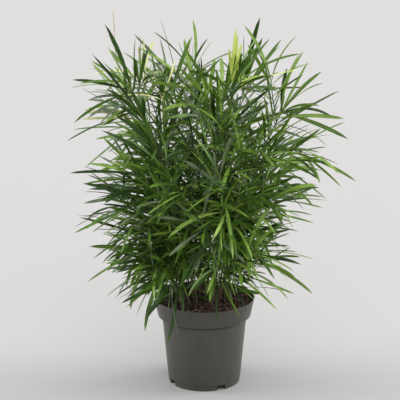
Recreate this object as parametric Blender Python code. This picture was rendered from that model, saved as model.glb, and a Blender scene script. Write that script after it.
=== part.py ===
"""A potted asparagus fern with sickle-shaped leaves, at rest: nursery pot, soil, bare stems and leafy masses.

Metres, +Z up. The origin is the centre of the pot's flat underside, and -Y faces the viewer. Each shoot grows
from the soil as one bare stem. Beyond its joint it is a mass of its own: a twig with branchlets, and whorls of
leaves at their nodes. A mass keeps to the space that is nearer to its own wood than to another shoot's.
"""

import math
import random
from collections import namedtuple

import bmesh
import bpy
import numpy as np
from mathutils import Matrix, Vector

MM = 0.001
GAP = 0.3 * MM

# Pot, a 12 cm nursery pot
POT_SEGMENTS = 48
POT_HEIGHT = 105 * MM
POT_WALL = 1.3 * MM
POT_FLOOR = 2.2 * MM
RIM_RADIUS = 60 * MM
RIM_ROUND = 0.7 * MM
COLLAR_HEIGHT = 22 * MM
COLLAR_FOOT = POT_HEIGHT - COLLAR_HEIGHT
COLLAR_LOWER_RADIUS = 55.4 * MM
COLLAR_ROUND = 1.2 * MM
NECK_RADIUS = 50.4 * MM
FOOT_LINE_HEIGHT = 6.4 * MM
FOOT_LINE_RADIUS = 43.5 * MM
FOOT_STEP = 0.6 * MM
BASE_RADIUS = 42.6 * MM
BASE_CHAMFER = 0.8 * MM
NOTCH_TURNS = (28, 118, 208, 298)
NOTCH_WIDTH = 11 * MM
NOTCH_HEIGHT = 5.6 * MM
NOTCH_CORNER = 1.6 * MM
NOTCH_INNER_RADIUS = 38.5 * MM
NOTCH_INNER_BEYOND = 2 * MM
WELD = 0.001 * MM

# Soil, level where the stems stand and uneven towards the wall
SOIL_TOP = 101 * MM
SOIL_LEVEL_RADIUS = 37 * MM
SOIL_RINGS = (43 * MM, 49 * MM)
SOIL_UNEVEN = 1.4 * MM
SOIL_CLEARANCE = 0.35 * MM

# Wood
STEM_SIDES = 5
STEM_RADII = (1.35 * MM, 1.0 * MM)
TWIG_SIDES = 3
TWIG_RADII = (1.3 * MM, 0.95 * MM)
BRANCHLET_RADII = (1.1 * MM, 0.95 * MM)
AXIS_STEPS = 9
NEAR_STATION = 1 * MM
JOINT_BELOW_NODE = 10 * MM
WOOD_SAMPLE = 4 * MM

# Growth
GOLDEN_TURN = math.radians(137.5)
UP = Vector((0.0, 0.0, 1.0))
NODE_STEP = 30 * MM
NODE_UNEVEN = (0.85, 1.15)
LAST_NODE = 12 * MM
BRANCHLET_SPAN = (26 * MM, 52 * MM)
BRANCHLET_TILT = (34, 60)
BRANCHLET_RISE = 0.12
BRANCHLET_LEAN = 0.25
BRANCHLET_STATIONS = 2
MIDDLE_WHORL_SPAN = 42 * MM
Whorl = namedtuple("Whorl", "count tilts size")
AXIS_WHORL = Whorl(count=3, tilts=(30, 88), size=1.0)
MIDDLE_WHORL = Whorl(count=2, tilts=(30, 85), size=0.9)
END_WHORL = Whorl(count=4, tilts=(12, 72), size=0.95)
TIP_WHORL = Whorl(count=6, tilts=(6, 64), size=1.05)
WHORL_BELOW_BRANCHLET = 1.5 * MM
FIRST_LEAF = 0.6
LEAF_SPACING = 2.2 * MM
LEAF_TURN_UNEVEN = 0.35

# Leaves: sizes in life, and what a mass needs to be solid
LEAF_LENGTH_SHARE = (0.5, 1.2)
LEAF_WIDTH = (4.6 * MM, 6.4 * MM)
LEAF_BEND = (0.06, 0.8)
LEAF_ROLL = 0.7
LEAF_TWIST = 0.5
LEAF_SICKLE = 0.8
BLADE_BROADER = 1.35
BLADE_THICKNESS = 1.0 * MM
BLADE_ROOT_WIDTH = 0.76 * MM
BLADE_ROOT_SHARE = 0.66
BLADE_MIDDLE = 0.46
BLADE_SECTION = ((-1.0, -0.35), (1.0, -0.35), (0.0, 0.65))
BLADE_SAMPLES = 20
SHORTER = (1.0, 0.85, 0.7, 0.57, 0.46)
LEAF_COLOURS = {"top": "#54722f", "mid": "#4a6a2c", "low": "#476429"}

# Space around a leaf
CELL_MARGIN = 0.35 * MM
WOOD_MARGIN = 5.0 * MM
STEM_MARGIN = 2.6 * MM
LEAF_MARGIN = 1.3 * MM
WHORL_RADIUS = 7 * MM
RIM_MARGIN = 4 * MM
SOIL_MARGIN = 4 * MM
LOWEST_LEAF = 58 * MM

Tier = namedtuple("Tier", "bow rise bare lift spread leaf")
TIERS = {
    "top": Tier(bow=0.30, rise=0.62, bare=0.32, lift=0.24, spread=0.20, leaf=80 * MM),
    "mid": Tier(bow=0.42, rise=0.74, bare=0.26, lift=0.02, spread=0.34, leaf=77 * MM),
    "low": Tier(bow=0.50, rise=1.00, bare=0.30, lift=-0.20, spread=0.30, leaf=72 * MM),
}

# Shoots: turn about the pot in degrees, distance of foot and of tip from its middle and height of tip in
# millimetres, sideways sway in degrees, and the seed of nodes and leaves where it isn't 1.
Shoot = namedtuple("Shoot", "name turn foot reach height sway seed", defaults=(1,))
SHOOTS = [Shoot(*row) for row in (
    ("top_1", 180, 10, 85, 355, 10),
    ("top_2", 215, 15, 85, 335, 0),
    ("top_3", 115, 15, 75, 350, 15),
    ("top_4", 275, 10, 40, 360, 5),
    ("top_5", 30, 5, 25, 350, -25),
    ("top_6", 315, 15, 45, 370, -5, 2),
    ("top_7", 0, 15, 90, 330, 25),
    ("top_8", 80, 15, 100, 305, 15),
    ("top_9", 145, 15, 90, 360, 5),
    ("top_10", 60, 15, 95, 340, 0, 3),
    ("mid_1", 355, 25, 80, 290, 20),
    ("mid_2", 310, 25, 95, 250, 5),
    ("mid_3", 285, 25, 90, 260, -10, 2),
    ("mid_4", 250, 25, 105, 275, -10),
    ("mid_5", 220, 25, 90, 250, 0),
    ("mid_6", 195, 25, 75, 260, -25),
    ("mid_7", 150, 25, 85, 225, -20),
    ("mid_8", 130, 25, 110, 265, 15),
    ("mid_9", 65, 25, 100, 275, 20),
    ("mid_10", 40, 25, 105, 255, 5),
    ("low_1", 330, 32, 55, 165, -20, 4),
    ("low_2", 285, 32, 80, 200, -20),
    ("low_3", 240, 32, 85, 165, 15, 3),
    ("low_4", 210, 32, 80, 175, 10),
    ("low_5", 175, 32, 75, 180, 0),
    ("low_6", 140, 32, 90, 180, -10),
    ("low_7", 100, 32, 70, 150, -5),
    ("low_8", 45, 32, 65, 170, 5),
)]

Leaf = namedtuple("Leaf", "base along down bend roll twist length width")


class Path:
    """A chain of points and the length along it."""

    def __init__(self, points):
        self.points = points
        self.reached = [0.0]
        for a, b in zip(points, points[1:]):
            self.reached.append(self.reached[-1] + (b - a).length)
        self.length = self.reached[-1]

    def at(self, distance):
        """The point at this distance from the start, and the direction there."""
        for i in range(1, len(self.points)):
            if distance <= self.reached[i] or i == len(self.points) - 1:
                a, b = self.points[i - 1], self.points[i]
                share = (distance - self.reached[i - 1]) / (b - a).length
                return a.lerp(b, share), (b - a).normalized()

    def spread(self, step):
        """Points at most this far apart, from the start to the end."""
        count = max(1, math.ceil(self.length / step))
        return np.array([self.at(self.length * i / count)[0] for i in range(count + 1)])

    def stations(self, start, end):
        """(point, direction) at both distances and at each of the chain's own points between them."""
        inner = [
            (point, (point - self.points[i - 1]).normalized() + (self.points[i + 1] - point).normalized())
            for i, point in enumerate(self.points)
            if start + NEAR_STATION < self.reached[i] < end - NEAR_STATION
        ]
        return [self.at(start)] + [(point, way.normalized()) for point, way in inner] + [self.at(end)]

    def part(self, start, end):
        """The chain between two distances."""
        return Path([point for point, _ in self.stations(start, end)])


def tier_of(shoot):
    return TIERS[shoot.name.split("_")[0]]


def axis_of(shoot):
    """A shoot's line from the soil to its tip: a quadratic bow outwards with a sideways sway."""
    tier = tier_of(shoot)
    foot, reach, height = shoot.foot * MM, shoot.reach * MM, shoot.height * MM
    middle_out = foot + (reach - foot) * tier.bow
    middle_up = SOIL_TOP + (height - SOIL_TOP) * tier.rise
    points = []
    for k in range(AXIS_STEPS + 1):
        t = k / AXIS_STEPS
        first, second, third = (1 - t) ** 2, 2 * t * (1 - t), t * t
        out = first * foot + second * middle_out + third * reach
        up = first * SOIL_TOP + second * middle_up + third * height
        angle = math.radians(shoot.turn + shoot.sway * (t * t - t))
        points.append(Vector((out * math.cos(angle), out * math.sin(angle), up)))
    return Path(points)


def aslant(axis, turn, tilt):
    """A direction tilted from the axis, at this turn around it."""
    across = axis.orthogonal().normalized()
    around = across * math.cos(turn) + axis.cross(across) * math.sin(turn)
    return axis * math.cos(tilt) + around * math.sin(tilt)


def whorl(key, path, distance, kind, tier):
    """The leaves of one node, one behind another and spread around the path by the golden turn."""
    rng = random.Random(key)
    start = rng.uniform(0, math.tau)
    leaves = []
    for k in range(kind.count):
        base, axis = path.at(distance - (k + FIRST_LEAF) * LEAF_SPACING)
        outward = Vector((base.x, base.y, 0)).normalized()
        turn = start + GOLDEN_TURN * k + rng.uniform(-LEAF_TURN_UNEVEN, LEAF_TURN_UNEVEN)
        tilt = math.radians(rng.uniform(*kind.tilts))
        along = (aslant(axis, turn, tilt) + UP * tier.lift + outward * tier.spread).normalized()
        side = (along.cross(UP) + along.orthogonal() * 1e-3).normalized()
        down = along * along.dot(UP) - UP + side * rng.uniform(-LEAF_SICKLE, LEAF_SICKLE)
        down = (down - along * down.dot(along)).normalized()
        bend = rng.uniform(*LEAF_BEND)
        roll = rng.gauss(0, LEAF_ROLL)
        twist = rng.uniform(-LEAF_TWIST, LEAF_TWIST)
        length = tier.leaf * kind.size * rng.uniform(*LEAF_LENGTH_SHARE)
        width = rng.uniform(*LEAF_WIDTH)
        leaves.append(Leaf(base, along, down, bend, roll, twist, length, width))
    return leaves


def branchlet(rng, base, along, turn, tier):
    """A side twig that leaves the axis aslant and turns a little upwards."""
    tilt = math.radians(rng.uniform(*BRANCHLET_TILT))
    slant = (aslant(along, turn, tilt) + UP * BRANCHLET_RISE).normalized()
    span = rng.uniform(*BRANCHLET_SPAN)
    lean = (slant + UP * (BRANCHLET_LEAN + tier.lift)).normalized()
    points = [base]
    for i in range(1, BRANCHLET_STATIONS + 1):
        heading = slant.lerp(lean, i / BRANCHLET_STATIONS).normalized()
        points.append(points[-1] + heading * span / BRANCHLET_STATIONS)
    return Path(points), span


def grown(shoot):
    """A shoot's axis, and a list of (branchlet or None, whorls that it carries)."""
    tier = tier_of(shoot)
    axis = axis_of(shoot)
    stem = f"{shoot.name} {shoot.seed}"
    rng = random.Random(f"{shoot.name} nodes {shoot.seed}")
    distance = axis.length * tier.bare + rng.uniform(0, NODE_STEP)
    turn = rng.uniform(0, math.tau)
    parts = []
    n = 0
    while distance < axis.length - LAST_NODE:
        base, along = axis.at(distance)
        below = distance - WHORL_BELOW_BRANCHLET
        parts.append((None, whorl(f"{stem} {n}", axis, below, AXIS_WHORL, tier)))
        turn += GOLDEN_TURN
        side, span = branchlet(rng, base, along, turn, tier)
        leaves = []
        if span > MIDDLE_WHORL_SPAN:
            leaves += whorl(f"{stem} {n} mid", side, span / 2, MIDDLE_WHORL, tier)
        leaves += whorl(f"{stem} {n} end", side, span, END_WHORL, tier)
        parts.append((side, leaves))
        distance += NODE_STEP * rng.uniform(*NODE_UNEVEN)
        n += 1
    parts.append((None, whorl(f"{stem} tip", axis, axis.length, TIP_WHORL, tier)))
    return axis, parts


def leaf_frame(leaf, s):
    """The leaf's centre at this share of its length, and its directions across and through the blade."""
    angle = leaf.bend * s
    radius = leaf.length / leaf.bend
    forward, sunk = radius * math.sin(angle), radius * (1 - math.cos(angle))
    centre = leaf.base + leaf.along * forward + leaf.down * sunk
    tangent = leaf.along * math.cos(angle) + leaf.down * math.sin(angle)
    level = leaf.along.cross(leaf.down)
    roll = leaf.roll + leaf.twist * s
    across = level * math.cos(roll) + tangent.cross(level) * math.sin(roll)
    return centre, across, tangent.cross(across)


def squared_distances(points, others):
    """The squared distance from each point to each of the others."""
    return sum((points[:, None, k] - others[None, :, k]) ** 2 for k in range(3))


class Space:
    """The wood of all shoots as sampled points, each known by the shoot that owns it."""

    def __init__(self):
        self.points = np.empty((0, 3))
        self.owners = np.empty(0, int)

    def add(self, path, owner):
        points = path.spread(WOOD_SAMPLE)
        self.points = np.concatenate([self.points, points])
        self.owners = np.concatenate([self.owners, np.full(len(points), owner)])

    def from_others(self, points, owner):
        """The least distance from these points to another shoot's wood."""
        others = self.points[self.owners != owner]
        return np.linalg.norm(points[:, None] - others[None], axis=2).min()

    def depth(self, points, owner):
        """How far inside the owner's space the outermost of these points lies."""
        own = self.points[self.owners == owner]
        others = self.points[self.owners != owner]
        to_own = squared_distances(points, own)
        nearest = own[to_own.argmin(axis=1)]
        planes = squared_distances(points, others) - to_own.min(axis=1)[:, None]
        return (planes / (2 * np.sqrt(squared_distances(nearest, others)))).min()


def planned():
    """Every shoot's axis with the branchlets and whorls that have room, and the space of all their wood."""
    shoots = [grown(shoot) for shoot in SHOOTS]
    space = Space()
    for owner, (axis, _) in enumerate(shoots):
        space.add(axis, owner)
    roomy = []
    for owner, (axis, parts) in enumerate(shoots):
        kept = []
        for side, leaves in parts:
            if side:
                points = side.spread(WOOD_SAMPLE)
                if space.from_others(points, owner) < WOOD_MARGIN or not clear_of_pot(points):
                    continue
                space.add(side, owner)
            kept.append((side, leaves))
        roomy.append((axis, kept))
    return roomy, space


def blade_samples(leaf):
    """Points on the solid blade's two edges and ridge, from a little off the root to the tip."""
    stations = [leaf_frame(leaf, s) for s in (0, BLADE_MIDDLE, 1)]
    half = leaf.width * BLADE_BROADER / 2
    halves = (BLADE_ROOT_WIDTH / 2, half, 0)
    points = []
    for k in range(1, BLADE_SAMPLES + 1):
        s = k / BLADE_SAMPLES
        first = 0 if s <= BLADE_MIDDLE else 1
        span = (BLADE_MIDDLE, 1 - BLADE_MIDDLE)[first]
        share = (s - (0, BLADE_MIDDLE)[first]) / span
        centre = stations[first][0].lerp(stations[first + 1][0], share)
        across = stations[first][1].lerp(stations[first + 1][1], share)
        through = stations[first][2].lerp(stations[first + 1][2], share)
        wide = halves[first] + (halves[first + 1] - halves[first]) * share
        points += [centre + across * wide, centre - across * wide, centre + through * BLADE_THICKNESS / 2]
    return np.array(points)


def clear_of_pot(points):
    """Whether the points keep off the soil, the rim and the pot's side, and don't hang too low."""
    out = np.hypot(points[:, 0], points[:, 1])
    up = points[:, 2]
    over_soil = (out < RIM_RADIUS - RIM_MARGIN) & (up < SOIL_TOP + SOIL_MARGIN)
    over_rim = (abs(out - RIM_RADIUS) <= RIM_MARGIN) & (up < POT_HEIGHT + RIM_MARGIN)
    return not (over_soil | over_rim | (up < LOWEST_LEAF)).any()


def fitted(leaf, owner, space, bare_stem, taken):
    """The leaf and its samples, made shorter where its space needs that, or None where it has no room."""
    away = np.linalg.norm(taken - np.array(leaf.base), axis=1) > WHORL_RADIUS
    for share in SHORTER:
        shorter = leaf._replace(length=leaf.length * share)
        points = blade_samples(shorter)
        if not clear_of_pot(points) or squared_distances(points, bare_stem).min() < STEM_MARGIN ** 2:
            continue
        if away.any() and squared_distances(points, taken[away]).min() < LEAF_MARGIN ** 2:
            continue
        if space.depth(points, owner) > CELL_MARGIN:
            return shorter, points
    return None


def new_object(name, bm, material):
    bmesh.ops.recalc_face_normals(bm, faces=bm.faces)
    mesh = bpy.data.meshes.new(name)
    bm.to_mesh(mesh)
    bm.free()
    mesh.materials.append(material)
    obj = bpy.data.objects.new(name, mesh)
    bpy.context.scene.collection.objects.link(obj)
    return obj


def ring(centre, first, second, radius, sides):
    """Corners of a regular ring in the plane of two directions."""
    turns = [math.tau * k / sides for k in range(sides)]
    return [centre + (first * math.cos(a) + second * math.sin(a)) * radius for a in turns]


def extruded(bm, cap, before, after):
    """Extrudes the cap with corners at `before`, and moves each new corner to its place in `after`."""
    inner = any(len(edge.link_faces) > 1 for edge in cap.edges)
    made = bmesh.ops.extrude_face_region(bm, geom=[cap])["geom"]
    if inner:
        bmesh.ops.delete(bm, geom=[cap], context="FACES_ONLY")
    cap = next(item for item in made if isinstance(item, bmesh.types.BMFace))
    for vert in cap.verts:
        vert.co = after[before.index(vert.co)]
    return cap


def tube(name, stations, radii, sides, material, level_start=False):
    """A closed limb that tapers from one radius to the other through stations of (point, direction)."""
    bm = bmesh.new()
    bmesh.ops.create_circle(bm, cap_ends=True, segments=sides, radius=1)
    cap = next(iter(bm.faces))
    first = stations[0][1].orthogonal().normalized()
    for k, (point, direction) in enumerate(stations):
        if k == 0 and level_start:
            direction = UP
        first = (first - direction * first.dot(direction)).normalized()
        radius = radii[0] + (radii[1] - radii[0]) * k / (len(stations) - 1)
        corners = ring(point, first, direction.cross(first), radius, sides)
        if k == 0:
            for vert, place in zip(cap.verts, corners):
                vert.co = place
        else:
            cap = extruded(bm, cap, before, corners)
        before = corners
    return new_object(name, bm, material)


def blade_blank():
    """A flat blade along +X from 0 to 1: narrow root, broad middle and tip, with its width along Y."""
    bm = bmesh.new()
    bmesh.ops.create_circle(bm, cap_ends=True, segments=3, radius=1)
    cap = next(iter(bm.faces))
    thick = BLADE_THICKNESS * BLADE_ROOT_SHARE
    root = [Vector((0.0, y * BLADE_ROOT_WIDTH / 2, z * thick)) for y, z in BLADE_SECTION]
    for vert, place in zip(cap.verts, root):
        vert.co = place
    middle = [Vector((BLADE_MIDDLE, y / 2, z * BLADE_THICKNESS)) for y, z in BLADE_SECTION]
    cap = extruded(bm, cap, root, middle)
    tip = bmesh.ops.poke(bm, faces=[cap])["verts"][0]
    tip.co = (1, 0, 0)
    bmesh.ops.recalc_face_normals(bm, faces=bm.faces)
    mesh = bpy.data.meshes.new("blade_blank")
    bm.to_mesh(mesh)
    bm.free()
    return mesh


def blade(name, leaf, blank, material):
    """The blank bent along the leaf's curve, at the leaf's length and width."""
    bm = bmesh.new()
    bm.from_mesh(blank)
    for vert in bm.verts:
        centre, across, through = leaf_frame(leaf, vert.co.x)
        wide = vert.co.y * (leaf.width * BLADE_BROADER if vert.co.x else 1)
        vert.co = centre + across * wide + through * vert.co.z
    return new_object(name, bm, material)


def joined(name, pieces):
    """One solid from closed pieces that overlap: the first takes in the others."""
    body = pieces[0]
    operand = bpy.data.collections.new(name)
    bpy.context.scene.collection.children.link(operand)
    for piece in pieces[1:]:
        operand.objects.link(piece)
    union = body.modifiers.new("Union", "BOOLEAN")
    union.operation = "UNION"
    union.operand_type = "COLLECTION"
    union.collection = operand
    graph = bpy.context.evaluated_depsgraph_get()
    mesh = bpy.data.meshes.new_from_object(body.evaluated_get(graph))
    body.modifiers.clear()
    body.data = mesh
    body.name = mesh.name = name
    for piece in pieces[1:]:
        bpy.data.objects.remove(piece)
    bpy.data.collections.remove(operand)
    return body


def joint_of(shoot, axis):
    """How far along its axis the shoot's bare stem ends and its mass begins."""
    return axis.length * tier_of(shoot).bare - JOINT_BELOW_NODE


def bare_stem(shoot, axis, material):
    """The shoot's bare length, cut level just above the soil."""
    start = GAP / axis.at(0)[1].z
    stations = axis.stations(start, joint_of(shoot, axis))
    return tube(f"stem_{shoot.name}", stations, STEM_RADII, STEM_SIDES, material, level_start=True)


def leafy_mass(shoot, owner, axis, parts, space, blank, material):
    """The shoot's leafy length: its twig, the branchlets with room and the leaves that fit its space."""
    joint = joint_of(shoot, axis)
    bare = axis.part(0, joint).spread(WOOD_SAMPLE)
    pieces = [tube("twig", axis.stations(joint + GAP, axis.length), TWIG_RADII, TWIG_SIDES, material)]
    taken = space.points[space.owners == owner]
    for side, leaves in parts[::-1]:
        if side:
            stations = side.stations(0, side.length)
            pieces.append(tube("branchlet", stations, BRANCHLET_RADII, TWIG_SIDES, material))
        for leaf in leaves:
            fit = fitted(leaf, owner, space, bare, taken)
            if fit:
                pieces.append(blade("blade", fit[0], blank, material))
                taken = np.concatenate([taken, fit[1]])
    return joined(f"foliage_{shoot.name}", pieces)


def turned(name, outline, material, segments):
    """A round solid from an outline of (radius, height) that starts and ends on the axis."""
    bm = bmesh.new()
    verts = [bm.verts.new((radius, 0, height)) for radius, height in outline]
    edges = [bm.edges.new(pair) for pair in zip(verts, verts[1:])]
    bmesh.ops.spin(bm, geom=verts + edges, axis=(0, 0, 1), cent=(0, 0, 0), angle=math.tau,
                   steps=segments, use_merge=True)
    bmesh.ops.remove_doubles(bm, verts=bm.verts, dist=WELD)
    return new_object(name, bm, material)


def inner_outline():
    """(radius, height) of the pot's inner side, from the floor's edge to the rim."""
    slope = (NECK_RADIUS - FOOT_LINE_RADIUS) / (COLLAR_FOOT - FOOT_LINE_HEIGHT)
    floor_edge = FOOT_LINE_RADIUS - slope * (FOOT_LINE_HEIGHT - POT_FLOOR) - FOOT_STEP - POT_WALL
    return [
        (floor_edge, POT_FLOOR),
        (NECK_RADIUS - POT_WALL, COLLAR_FOOT + POT_WALL),
        (COLLAR_LOWER_RADIUS - POT_WALL, COLLAR_FOOT + POT_WALL + COLLAR_ROUND),
        (RIM_RADIUS - POT_WALL, POT_HEIGHT),
    ]


def pot_outline():
    """(radius, height) round the pot's wall, from the underside's middle to the floor's middle."""
    outer = [
        (0, 0),
        (BASE_RADIUS - BASE_CHAMFER, 0),
        (BASE_RADIUS, BASE_CHAMFER),
        (FOOT_LINE_RADIUS - FOOT_STEP, FOOT_LINE_HEIGHT - FOOT_STEP),
        (FOOT_LINE_RADIUS, FOOT_LINE_HEIGHT),
        (NECK_RADIUS, COLLAR_FOOT),
        (COLLAR_LOWER_RADIUS - COLLAR_ROUND, COLLAR_FOOT),
        (COLLAR_LOWER_RADIUS - COLLAR_ROUND * 0.3, COLLAR_FOOT + COLLAR_ROUND * 0.3),
        (COLLAR_LOWER_RADIUS, COLLAR_FOOT + COLLAR_ROUND),
        (RIM_RADIUS, POT_HEIGHT - RIM_ROUND),
        (RIM_RADIUS - RIM_ROUND, POT_HEIGHT),
    ]
    return outer + inner_outline()[::-1] + [(0, POT_FLOOR)]


def drainage_cutters():
    """Round-shouldered blocks that open the foot ring, in a hidden collection."""
    cutters = bpy.data.collections.new("drainage_cutters")
    bpy.context.scene.collection.children.link(cutters)
    cutters.hide_render = True
    depth = BASE_RADIUS - NOTCH_INNER_RADIUS + 2 * NOTCH_INNER_BEYOND
    for turn in NOTCH_TURNS:
        bm = bmesh.new()
        size = Matrix.Diagonal((depth, NOTCH_WIDTH, 2 * NOTCH_HEIGHT, 1))
        bmesh.ops.create_cube(bm, size=1, matrix=size)
        upper = [e for e in bm.edges if all(v.co.z > 0 for v in e.verts)]
        shoulders = [e for e in upper if e.verts[0].co.y == e.verts[1].co.y]
        bmesh.ops.bevel(bm, geom=shoulders, offset=NOTCH_CORNER, affect="EDGES", segments=3, profile=0.5,
                        material=-1)
        cutter = new_object(f"drainage_cutter_{turn}", bm, material("cutter", "#808080", 0.5))
        cutter.rotation_euler.z = math.radians(turn)
        middle = NOTCH_INNER_RADIUS + depth / 2
        cutter.location = (middle * math.cos(math.radians(turn)), middle * math.sin(math.radians(turn)), 0)
        cutter.display_type = "WIRE"
        cutter.hide_render = True
        cutters.objects.link(cutter)
        bpy.context.scene.collection.objects.unlink(cutter)
    return cutters


def pot(plastic):
    """The moulded pot with its stepped collar, foot line and four drainage notches."""
    body = turned("pot", pot_outline(), plastic, POT_SEGMENTS)
    body.data.shade_smooth()
    body.data.set_sharp_from_angle(angle=math.radians(30))
    drainage = body.modifiers.new("Drainage", "BOOLEAN")
    drainage.operation = "DIFFERENCE"
    drainage.operand_type = "COLLECTION"
    drainage.collection = drainage_cutters()
    return body


def soil(peat):
    """The soil that fills the pot, clear of its wall: level in the middle, uneven near the wall."""
    floor_edge, neck, collar, rim = inner_outline()
    share = (SOIL_TOP - collar[1]) / (rim[1] - collar[1])
    top_radius = collar[0] + (rim[0] - collar[0]) * share - SOIL_CLEARANCE
    outline = [
        (0, POT_FLOOR + SOIL_CLEARANCE),
        (floor_edge[0] - SOIL_CLEARANCE, POT_FLOOR + SOIL_CLEARANCE),
        (neck[0] - SOIL_CLEARANCE, neck[1]),
        (neck[0] - SOIL_CLEARANCE, neck[1] + 2 * SOIL_CLEARANCE),
        (collar[0] - SOIL_CLEARANCE, collar[1] + SOIL_CLEARANCE),
        (top_radius, SOIL_TOP),
    ]
    outline += [(radius, SOIL_TOP) for radius in SOIL_RINGS[::-1]]
    outline += [(SOIL_LEVEL_RADIUS, SOIL_TOP), (0, SOIL_TOP)]
    body = turned("soil", outline, peat, POT_SEGMENTS)
    rng = random.Random("soil")
    for vert in body.data.vertices:
        out = math.hypot(vert.co.x, vert.co.y)
        if vert.co.z > SOIL_TOP - WELD and SOIL_LEVEL_RADIUS + MM < out < top_radius - MM:
            vert.co.z += rng.uniform(-SOIL_UNEVEN, SOIL_UNEVEN)
    return body


def linear(hex_colour):
    """An sRGB colour as a linear RGBA."""
    channels = [int(hex_colour[i:i + 2], 16) / 255 for i in (1, 3, 5)]
    return [c / 12.92 if c <= 0.04045 else ((c + 0.055) / 1.055) ** 2.4 for c in channels] + [1.0]


def material(name, hex_colour, roughness, metallic=0.0):
    found = bpy.data.materials.get(name)
    if found:
        return found
    made = bpy.data.materials.new(name)
    made.use_nodes = True
    shader = made.node_tree.nodes["Principled BSDF"]
    shader.inputs["Base Color"].default_value = linear(hex_colour)
    shader.inputs["Roughness"].default_value = roughness
    shader.inputs["Metallic"].default_value = metallic
    made.diffuse_color = linear(hex_colour)
    return made


def main():
    for obj in list(bpy.data.objects):
        bpy.data.objects.remove(obj)
    pot(material("moulded_polypropylene", "#4f4d49", 0.45))
    soil(material("damp_peat", "#2d2419", 0.95))
    shoots, space = planned()
    bark = material("young_green_bark", "#6b7048", 0.7)
    blank = blade_blank()
    for owner, (shoot, (axis, parts)) in enumerate(zip(SHOOTS, shoots)):
        tier = shoot.name.split("_")[0]
        leaf_green = material(f"leaf_{tier}", LEAF_COLOURS[tier], 0.45)
        bare_stem(shoot, axis, bark)
        leafy_mass(shoot, owner, axis, parts, space, blank, leaf_green)
    bpy.data.meshes.remove(blank)


main()
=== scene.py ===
"""Looks of a potted asparagus fern with sickle-shaped leaves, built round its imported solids.

Metres, +Z up, -Y towards the viewer, as in the solids. Stems, twigs and leaves grow by the rule
of the solids' masses, and go on to finer spurs with narrow leaves inside the same crown. The pot
and its soil are modelled anew over their solids.
"""

import logging
import math
import random
from collections.abc import Iterable, Mapping, Sequence
from dataclasses import dataclass, field
from enum import Enum

import bmesh
import bpy
from mathutils import Euler, Matrix, Vector, noise


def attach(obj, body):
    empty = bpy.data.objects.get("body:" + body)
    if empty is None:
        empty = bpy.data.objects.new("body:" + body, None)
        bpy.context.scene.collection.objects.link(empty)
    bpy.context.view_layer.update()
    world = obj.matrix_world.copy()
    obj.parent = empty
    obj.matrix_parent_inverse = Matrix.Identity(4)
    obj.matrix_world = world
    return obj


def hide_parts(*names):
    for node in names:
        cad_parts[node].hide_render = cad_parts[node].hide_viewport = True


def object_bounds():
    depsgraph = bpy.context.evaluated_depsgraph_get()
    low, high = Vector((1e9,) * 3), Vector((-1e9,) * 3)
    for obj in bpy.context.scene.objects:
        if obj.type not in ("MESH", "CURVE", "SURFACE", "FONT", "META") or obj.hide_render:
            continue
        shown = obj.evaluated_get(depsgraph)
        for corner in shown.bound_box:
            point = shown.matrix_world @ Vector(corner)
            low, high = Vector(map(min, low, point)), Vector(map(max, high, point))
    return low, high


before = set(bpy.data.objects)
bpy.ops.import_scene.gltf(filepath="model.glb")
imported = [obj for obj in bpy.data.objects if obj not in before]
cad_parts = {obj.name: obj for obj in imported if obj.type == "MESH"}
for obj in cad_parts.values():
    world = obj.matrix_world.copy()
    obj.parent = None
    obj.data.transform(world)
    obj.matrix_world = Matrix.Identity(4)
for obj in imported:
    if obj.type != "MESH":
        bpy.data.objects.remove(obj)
CAD_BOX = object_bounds()

MM = 0.001
UP = Vector((0.0, 0.0, 1.0))
ROOT = "root"
MERGE_WITHIN = 0.001 * MM
MIX_FACTOR, MIX_A, MIX_B, MIX_RESULT = 0, 6, 7, 2  # The sockets of a Mix node set to colour.
log = logging.getLogger("potted_fern")

Pair = tuple[float, float]
Triple = tuple[float, float, float]
Colour = tuple[float, float, float, float]
Station = tuple[Vector, Vector]
Settings = Mapping[str | int, object]
Links = Mapping[str | int, bpy.types.NodeSocket]


def linear(hex_colour: str) -> Colour:
    """Turns an sRGB colour into the linear one that shaders take.

    Args:
        hex_colour: The colour as "#rrggbb".

    Returns:
        Linear red, green and blue, and full alpha.
    """
    channels = (int(hex_colour[i:i + 2], 16) / 255 for i in (1, 3, 5))
    return *(c / 12.92 if c <= 0.04045 else ((c + 0.055) / 1.055) ** 2.4 for c in channels), 1.0


def fill_node(
    tree: bpy.types.NodeTree, node: bpy.types.Node, settings: Settings, links: Links,
) -> bpy.types.Node:
    """Gives a node its settings and its incoming links.

    Args:
        tree: The node's tree.
        node: The node.
        settings: Values by property or input. "stops" holds a ramp's (place, hex colour) pairs.
        links: Output sockets by the input that they feed.

    Returns:
        The same node.
    """
    for key, value in settings.items():
        if key == "stops":
            elements = node.color_ramp.elements
            while len(elements) < len(value):
                elements.new(0.5)
            for element, (place, hex_colour) in zip(elements, value):
                element.position = place
                element.color = linear(hex_colour)
        elif isinstance(key, str) and hasattr(node, key):
            setattr(node, key, value)
        else:
            node.inputs[key].default_value = value
    for key, socket in links.items():
        tree.links.new(socket, node.inputs[key])
    return node


def add_node(
    tree: bpy.types.NodeTree, kind: str, settings: Settings | None = None,
    links: Links | None = None,
) -> bpy.types.Node:
    """Adds a node with its settings and its incoming links.

    Args:
        tree: The tree that takes the node.
        kind: The node's type, without the "ShaderNode" that each of them begins with.
        settings: Values by property or input, as fill_node takes them.
        links: Output sockets by the input that they feed.

    Returns:
        The new node.
    """
    return fill_node(tree, tree.nodes.new(f"ShaderNode{kind}"), settings or {}, links or {})


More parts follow.
